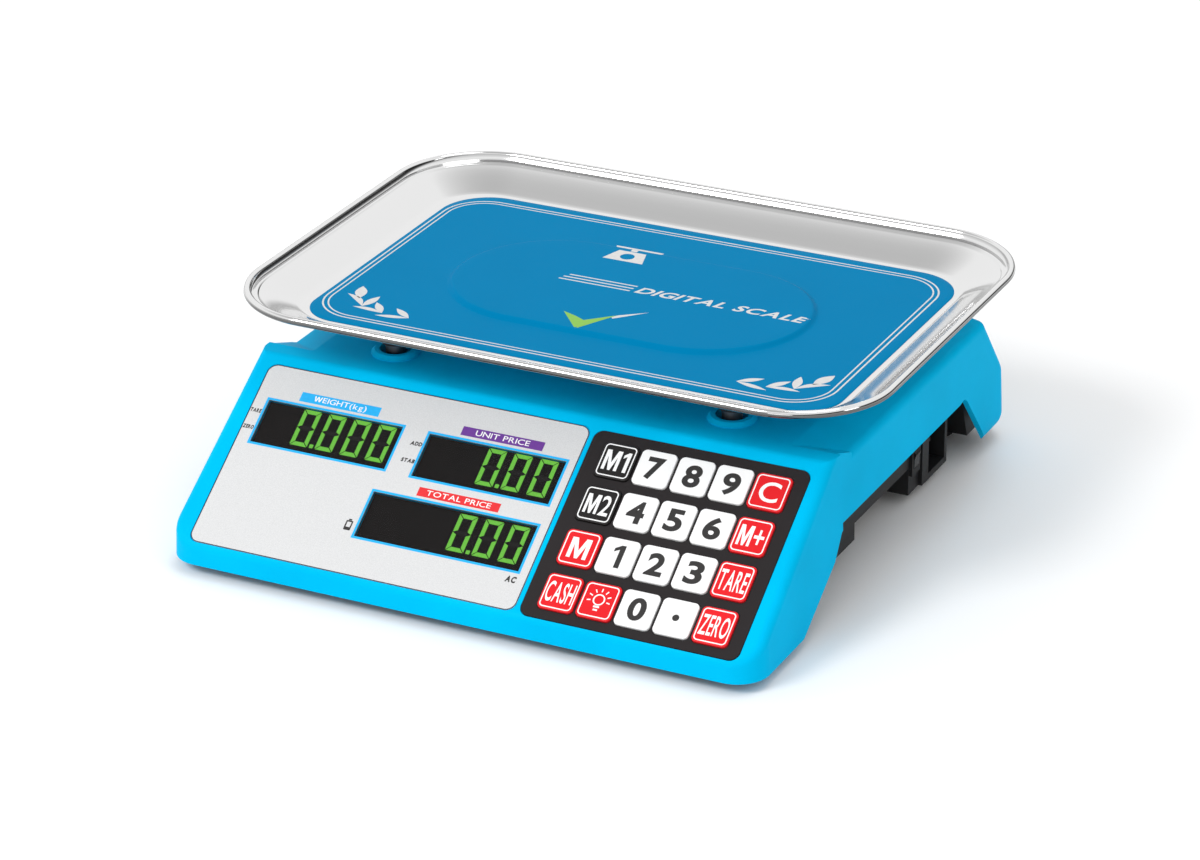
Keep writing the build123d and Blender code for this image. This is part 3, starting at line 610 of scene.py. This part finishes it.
def white_key_art(node, legend, u, v):
    """Black figure or point on a white key."""
    art = Artwork(node + "_legend", key_face, "ink_black", node, "key_white")
    if legend == ".":
        art.loops(disc(u, v, 1.7))
    else:
        half = 2.6 if legend == "1" else 4.4
        art.text(legend, u - half, u + half, v - 6.0, v + 6.0, weight=0.035)
    art.finish()


def outlined_key_art(node, legend, u, v):
    """White outline with a legend or the lamp, on a black or red key."""
    slot_name = "key_black" if node in ("key_m1", "key_m2") else "key_red"
    art = Artwork(node + "_legend", key_face, "ink_white", node, slot_name)
    art.loops(rounded(u, v, KEY_W / 2 - 0.9, KEY_H / 2 - 0.9, KEY_R - 0.5),
              rounded(u, v, KEY_W / 2 - 1.5, KEY_H / 2 - 1.5, KEY_R - 1.1))
    if legend is None:
        lamp_icon(art, u, v)
    else:
        half = {1: 5.0, 2: 6.3, 4: 6.9}[len(legend)]
        art.text(legend, u - half, u + half, v - 5.4, v + 5.4, weight=0.012)
    art.finish()


def lamp_icon(art, u, v):
    """Bulb with rays."""
    art.loops(disc(u, v + 0.6, 3.0), disc(u, v + 0.6, 2.3))
    art.loops(rectangle(u - 1.5, u + 1.5, v - 3.6, v - 2.6))
    art.loops(rectangle(u - 1.1, u + 1.1, v - 5.2, v - 4.3))
    inner, outer, half = 4.1, 5.9, 0.3
    for i in range(7):
        angle = math.radians(-10 + 200 / 6 * i)
        c, s = math.cos(angle), math.sin(angle)
        corners = ((inner, half), (outer, half), (outer, -half), (inner, -half))
        art.loops([(u + r * c - h * s, v + 0.6 + r * s + h * c) for r, h in corners])


# ---- weighing pan and its film -------------------------------------------------------------------
PAN_LOW, PAN_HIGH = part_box("weighing_pan")
FILM_LOW, FILM_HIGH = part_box("pan_film")
PAN_Y = (PAN_LOW.y + PAN_HIGH.y) / 2 / MM
PAN_HALF = ((PAN_HIGH.x - PAN_LOW.x) / 2 / MM, (PAN_HIGH.y - PAN_LOW.y) / 2 / MM)
FILM_HALF = ((FILM_HIGH.x - FILM_LOW.x) / 2 / MM, (FILM_HIGH.y - FILM_LOW.y) / 2 / MM)
FILM_X = (FILM_HIGH.x + FILM_LOW.x) / 2 / MM
FLOOR_HALF, FLOOR_CORNER = (145.5, 91.8), 28.5
FLOOR_Z = FILM_LOW.z / MM
RIM_TOP = PAN_HIGH.z / MM
PAN_CORNER, FILM_FRONT_CORNER, FILM_REAR_CORNER = 50.0, 20.0, 26.0
EMBOSS_HALF, EMBOSS_R, EMBOSS_H, EMBOSS_RUN = 94.0, 52.0, 1.8, 3.4
EMBOSS_OFFSETS = (-40, -20, -6, -2.0, -1.4, -0.8, -0.3, 0.2, 0.8, 1.4, 2.0, 5.0)
SHEET_T = 0.7             # thickness of the pan's sheet
BEAD_OUT, BEAD_UP = 2.0, 2.05
BEAD_DROP = 2.1           # bead's centre below the rim's top
WALL_DROP = 2.4           # wall's nominal top below the rim's top
WALL_RISE = 12.2          # wall's height in the units of its profile
RAYS = 720                # points in each ring


def ray_radius(angle, half_x, half_y, corner):
    """Distance from the centre to a rounded rectangle along a ray."""
    c, s = abs(math.cos(angle)), abs(math.sin(angle))
    edge_x = half_x / c if c > 1e-9 else 1e9
    edge_y = half_y / s if s > 1e-9 else 1e9
    r = min(edge_x, edge_y)
    px, py = half_x - corner, half_y - corner
    if r * c > px and r * s > py:
        b = px * c + py * s
        r = b + math.sqrt(max(0.0, b * b - (px * px + py * py - corner * corner)))
    return r


def emboss_height(x, y):
    """Height of the pressed plateau in the floor's middle, over the plain floor."""
    beyond = math.hypot(max(0.0, abs(x) - (EMBOSS_HALF - EMBOSS_R)), y - PAN_Y) - EMBOSS_R
    t = min(1.0, max(0.0, 0.5 - beyond / EMBOSS_RUN))
    return EMBOSS_H * t * t * (3 - 2 * t)


def ring_mesh(name, rings):
    """Upward-facing mesh from star-shaped rings, bridged from the inside out and closed in the middle."""
    vertices, faces = [], []
    for ring in rings:
        vertices += ring
    for k in range(len(rings) - 1):
        a, b = k * RAYS, (k + 1) * RAYS
        for i in range(RAYS):
            j = (i + 1) % RAYS
            faces.append((a + i, b + i, b + j, a + j))
    vertices.append((0.0, PAN_Y * MM, rings[0][0][2]))
    centre = len(vertices) - 1
    faces += [(centre, i, (i + 1) % RAYS) for i in range(RAYS)]
    mesh = bpy.data.meshes.new(name)
    mesh.from_pydata(vertices, [], faces)
    mesh.validate()
    return mesh


def pan_ring(half_x, half_y, corner, z, emboss=False, front_corner=None, middle=0.0):
    """One ring of points round the pan, its front corners rounder or tighter if asked."""
    ring = []
    for i in range(RAYS):
        angle = 2 * math.pi * i / RAYS
        turn = front_corner if front_corner is not None and i > RAYS / 2 else corner
        r = ray_radius(angle, half_x, half_y, turn)
        x, y = middle + r * math.cos(angle), PAN_Y + r * math.sin(angle)
        lift = emboss_height(x, y) if emboss else 0.0
        ring.append((x * MM, y * MM, (z + lift) * MM))
    return ring


def stadium_rings(z, offsets):
    """Rings that follow the pressed plateau's outline at the given distances outside it."""
    return [pan_ring(EMBOSS_HALF + d, EMBOSS_R + d, EMBOSS_R + d - 0.01, z, True) for d in offsets]


def pan_profile():
    """Rings of the pan's wall and bead, each as half width, half depth, corner radius and height."""
    hx, hy = PAN_HALF
    fx, fy = FLOOR_HALF
    run_x, run_y, run_r = hx - BEAD_OUT - fx, hy - BEAD_OUT - fy, PAN_CORNER - BEAD_OUT - FLOOR_CORNER
    rise = RIM_TOP - WALL_DROP - FLOOR_Z
    # share of the way out to the bead, height in units of WALL_RISE
    shape = [(0.0, 0.0), (0.03, 0.15), (0.10, 1.0), (0.25, 3.0), (0.45, 5.6), (0.62, 7.6), (0.74, 8.8),
             (0.79, 9.2), (0.795, 9.3), (0.81, 10.1), (0.82, 10.2), (0.87, 10.25), (0.91, 10.3), (0.93, 10.4)]
    rings = [(fx + run_x * t, fy + run_y * t, FLOOR_CORNER + run_r * t, FLOOR_Z + rise * h / WALL_RISE)
             for t, h in shape]
    for k in range(15):
        angle = math.radians(150 - 300 * k / 14)
        out, up = BEAD_OUT * math.cos(angle), BEAD_UP * math.sin(angle)
        rings.append((hx - BEAD_OUT + out, hy - BEAD_OUT + out, PAN_CORNER - BEAD_OUT + out,
                      RIM_TOP - BEAD_DROP + up))
    return rings


def weighing_pan():
    """Pressed stainless pan with its plateau, sloping wall, narrow flange and rolled bead."""
    rings = stadium_rings(FLOOR_Z, EMBOSS_OFFSETS) + [pan_ring(*ring) for ring in pan_profile()]
    mesh = ring_mesh("weighing_pan_skin", rings)
    pan = piece_from_mesh("weighing_pan_skin", mesh, "stainless", "weighing_pan", True)
    solid = pan.modifiers.new("thickness", "SOLIDIFY")
    solid.thickness, solid.offset = SHEET_T * MM, -1.0
    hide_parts("weighing_pan")
    return pan


def film_point(u, v, w):
    """Point over the film: w above its face, following the plateau."""
    return Vector((u, v, FILM_HIGH.z / MM + emboss_height(u, v) + w)) * MM


def film_ring(inset, z):
    """One ring of points a little inside the film's edge."""
    return pan_ring(FILM_HALF[0] - inset, FILM_HALF[1] - inset, FILM_REAR_CORNER - inset, z, True,
                    FILM_FRONT_CORNER - inset, FILM_X)


def pan_film():
    """Printed film that follows the pan's floor and its plateau."""
    z = FILM_HIGH.z / MM
    edge = ((12, z), (4, z), (0.15, z), (0, z - 0.08), (0, z - 0.16))
    rings = stadium_rings(z, EMBOSS_OFFSETS) + [film_ring(inset, height) for inset, height in edge]
    mesh = ring_mesh("pan_film_sheet", rings)
    film = piece_from_mesh("pan_film_sheet", mesh, "film_blue", "weighing_pan", True)
    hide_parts("pan_film")
    return film


def leaf(tip, base, swell, bend=0.0):
    """Leaf between two points: two arcs, the second bent toward the first for a crescent."""
    (x0, y0), (x1, y1) = base, tip
    dx, dy = x1 - x0, y1 - y0
    loop = []
    for steps, reach in ((range(13), bend + swell), (range(11, 0, -1), bend - swell)):
        for i in steps:
            t, bulge = i / 12, math.sin(math.pi * i / 12)
            loop.append((x0 + dx * t - dy * reach * bulge, y0 + dy * t + dx * reach * bulge))
    return [(x, y + PAN_Y) for x, y in loop]


def sprig(art, side):
    """Plain sprig of leaves in a front corner of the film."""
    leaves = [((-125.5, -45), (-120, -59), 0.2, 0.0), ((-128, -56), (-114, -67), 0.1, -0.1),
              ((-111.5, -53), (-114, -67), 0.16, 0.0), ((-118, -69), (-101, -70.5), 0.09, -0.06),
              ((-109.5, -60), (-101, -70.5), 0.15, 0.0), ((-103, -74), (-86, -70.5), 0.09, 0.0),
              ((-97, -62.5), (-86, -70.5), 0.14, 0.0)]
    for tip, base, swell, bend in leaves:
        loop = leaf(tip, base, swell, bend)
        art.loops([(x if side > 0 else 3.0 - x, y) for x, y in loop])


def film_art():
    """Printed border, sprigs, stripes and generic words on the film."""
    silver = Artwork("film_print_silver", film_point, "ink_silver", "weighing_pan", "film_blue", INK_T, 3.0)
    hx, hy = 143.0, FILM_HALF[1]
    for inset, width in ((6.2, 0.9), (8.9, 0.8)):
        silver.loops(rounded(0, PAN_Y, hx - inset, hy - inset, 29 - inset, 14),
                     rounded(0, PAN_Y, hx - inset - width, hy - inset - width, 29 - inset - width, 14))
    for i, left in enumerate((-41.0, -40.0, -38.0)):
        v = PAN_Y + 1.6 + 3.2 * i
        silver.loops([(left, v), (-2.0 + 0.6 * i, v), (-1.8 + 0.6 * i, v + 1.0), (left + 0.4, v + 1.0)])
    silver.text("DIGITAL SCALE", 0.6, 92.5, PAN_Y + 1.2, PAN_Y + 8.6, shear=0.3, weight=0.025)
    sprig(silver, 1)
    sprig(silver, -1)
    balance_icon(silver, -22.0, PAN_Y + 46.0, 22.0)
    silver.finish()


def film_tick():
    """Plain green tick with a silver tail."""
    tick = Artwork("film_print_tick", film_point, "ink_green", "weighing_pan", "film_blue", INK_T, 3.0)
    v = PAN_Y
    tick.loops([(-20.0, v - 34.0), (-12.0, v - 37.0), (-6.2, v - 40.0), (6.0, v - 28.0), (-5.5, v - 51.0)])
    tick.finish()
    tail = Artwork("film_print_tick_tail", film_point, "ink_silver", "weighing_pan", "film_blue", INK_T, 3.0)
    tail.loops([(6.3, v - 28.0), (18.5, v - 18.4), (12.5, v - 25.0), (5.6, v - 32.5), (4.5, v - 31.2)])
    tail.finish()


# ---- CAD nodes' finishes -------------------------------------------------------------------------
def finish_cad_nodes():
    """Gives every CAD node its slot's material."""
    slots = {part["node"]: part["material_slot"] for part in frame["record"]["subparts"]}
    for name, obj in frame["nodes"].items():
        for slot in obj.material_slots:
            slot.material = MATERIALS[slots[name]]


# ---- stage ---------------------------------------------------------------------------------------
def build_camera():
    """Camera at the product shot's viewing angle."""
    az, el, roll = (math.radians(a) for a in (AZIMUTH, ELEVATION, ROLL))
    back = Vector((math.sin(az) * math.cos(el), -math.cos(az) * math.cos(el), math.sin(el)))
    level = Vector((math.cos(az), math.sin(az), 0.0))
    upright = back.cross(level)
    right = level * math.cos(roll) + upright * math.sin(roll)
    up = upright * math.cos(roll) - level * math.sin(roll)
    data = bpy.data.cameras.new("camera")
    data.lens, data.sensor_width = LENS_MM, 36.0
    camera = bpy.data.objects.new("camera", data)
    camera.matrix_world = Matrix.Translation(CAMERA_AT) @ Matrix((right, up, back)).transposed().to_4x4()
    bpy.context.scene.collection.objects.link(camera)
    bpy.context.scene.camera = camera


def area_light(name, location, target, size, power):
    """Soft rectangular light that points at a target."""
    data = bpy.data.lights.new(name, "AREA")
    data.shape, data.size, data.size_y, data.energy = "RECTANGLE", size[0], size[1], power
    light = bpy.data.objects.new(name, data)
    light.location = location
    light.rotation_euler = (Vector(target) - Vector(location)).to_track_quat("-Z", "Y").to_euler()
    bpy.context.scene.collection.objects.link(light)


def build_world():
    """Plain white studio surround, dark at and below the horizon and dimmer straight overhead."""
    world = bpy.data.worlds.new("studio")
    world.use_nodes = True
    bpy.context.scene.world = world
    nodes, links = world.node_tree.nodes, world.node_tree.links
    background = nodes["Background"]
    coords = nodes.new("ShaderNodeTexCoord")
    lean = nodes.new("ShaderNodeMapping")
    lean.inputs["Rotation"].default_value = (0.0, math.radians(13.0), 0.0)
    split = nodes.new("ShaderNodeSeparateXYZ")
    ramp = nodes.new("ShaderNodeValToRGB")
    grey_stops(ramp, ((0.0, 0.04), (0.13, 0.10), (0.30, 1.0), (0.75, 1.0), (0.92, 0.62), (1.0, 0.5)))
    links.new(coords.outputs["Generated"], lean.inputs["Vector"])
    links.new(lean.outputs["Vector"], split.inputs["Vector"])
    links.new(split.outputs["Z"], ramp.inputs["Fac"])
    links.new(ramp.outputs["Color"], background.inputs["Color"])
    background.inputs["Strength"].default_value = 0.95


def build_floor():
    """Plain pale floor."""
    mesh = bpy.data.meshes.new("floor")
    corners = [(u, v, 0) for u, v in rectangle(-6.0, 6.0, -6.0, 6.0)]
    mesh.from_pydata(corners, [], [(0, 1, 2, 3)])
    floor = bpy.data.objects.new("floor", mesh)
    bpy.context.scene.collection.objects.link(floor)
    material = new_material("floor", (0.93, 0.93, 0.93, 1), 0.8)
    vary_roughness(material, noise(material, 30.0), 0.75, 0.85)
    mesh.materials.append(material)


def build_stage():
    """Camera, floor and soft light."""
    bpy.context.scene.view_settings.view_transform = "Standard"
    build_camera()
    build_world()
    build_floor()
    area_light("key", (-2.2, -3.6, 4.2), (0, 0, 0), (2.0, 2.0), 135)
    area_light("overhead", (0.5, 0.9, 4.6), (0, 0.4, 0), (2.2, 1.6), 35)
    area_light("front", (0.6, -3.6, 0.6), (0, 0, 0.08), (1.6, 0.5), 14)
    area_light("side", (3.6, -0.4, 1.0), (0, 0, 0.05), (1.0, 0.8), 12)


def main():
    """Builds the whole scene."""
    build_stage()
    finish_cad_nodes()
    panel_art()
    key_art()
    for name, (first, v, count) in DIGITS.items():
        led_digits("digits_" + name, PANEL, first, v, DIGIT_H, count)
    for index, (_, u1, v0, v1) in enumerate(REAR_WINDOWS):
        count = 4 if index == 0 else 3
        reach = (DIGIT_PITCH * (count - 1) + DIGIT_W) * REAR_DIGIT_H / DIGIT_H
        low_v = (v0 + v1 - REAR_DIGIT_H) / 2
        led_digits("digits_rear_%d" % index, REAR, u1 - REAR_MARGIN - reach, low_v, REAR_DIGIT_H, count)
    weighing_pan()
    pan_film()
    film_art()
    film_tick()


main()
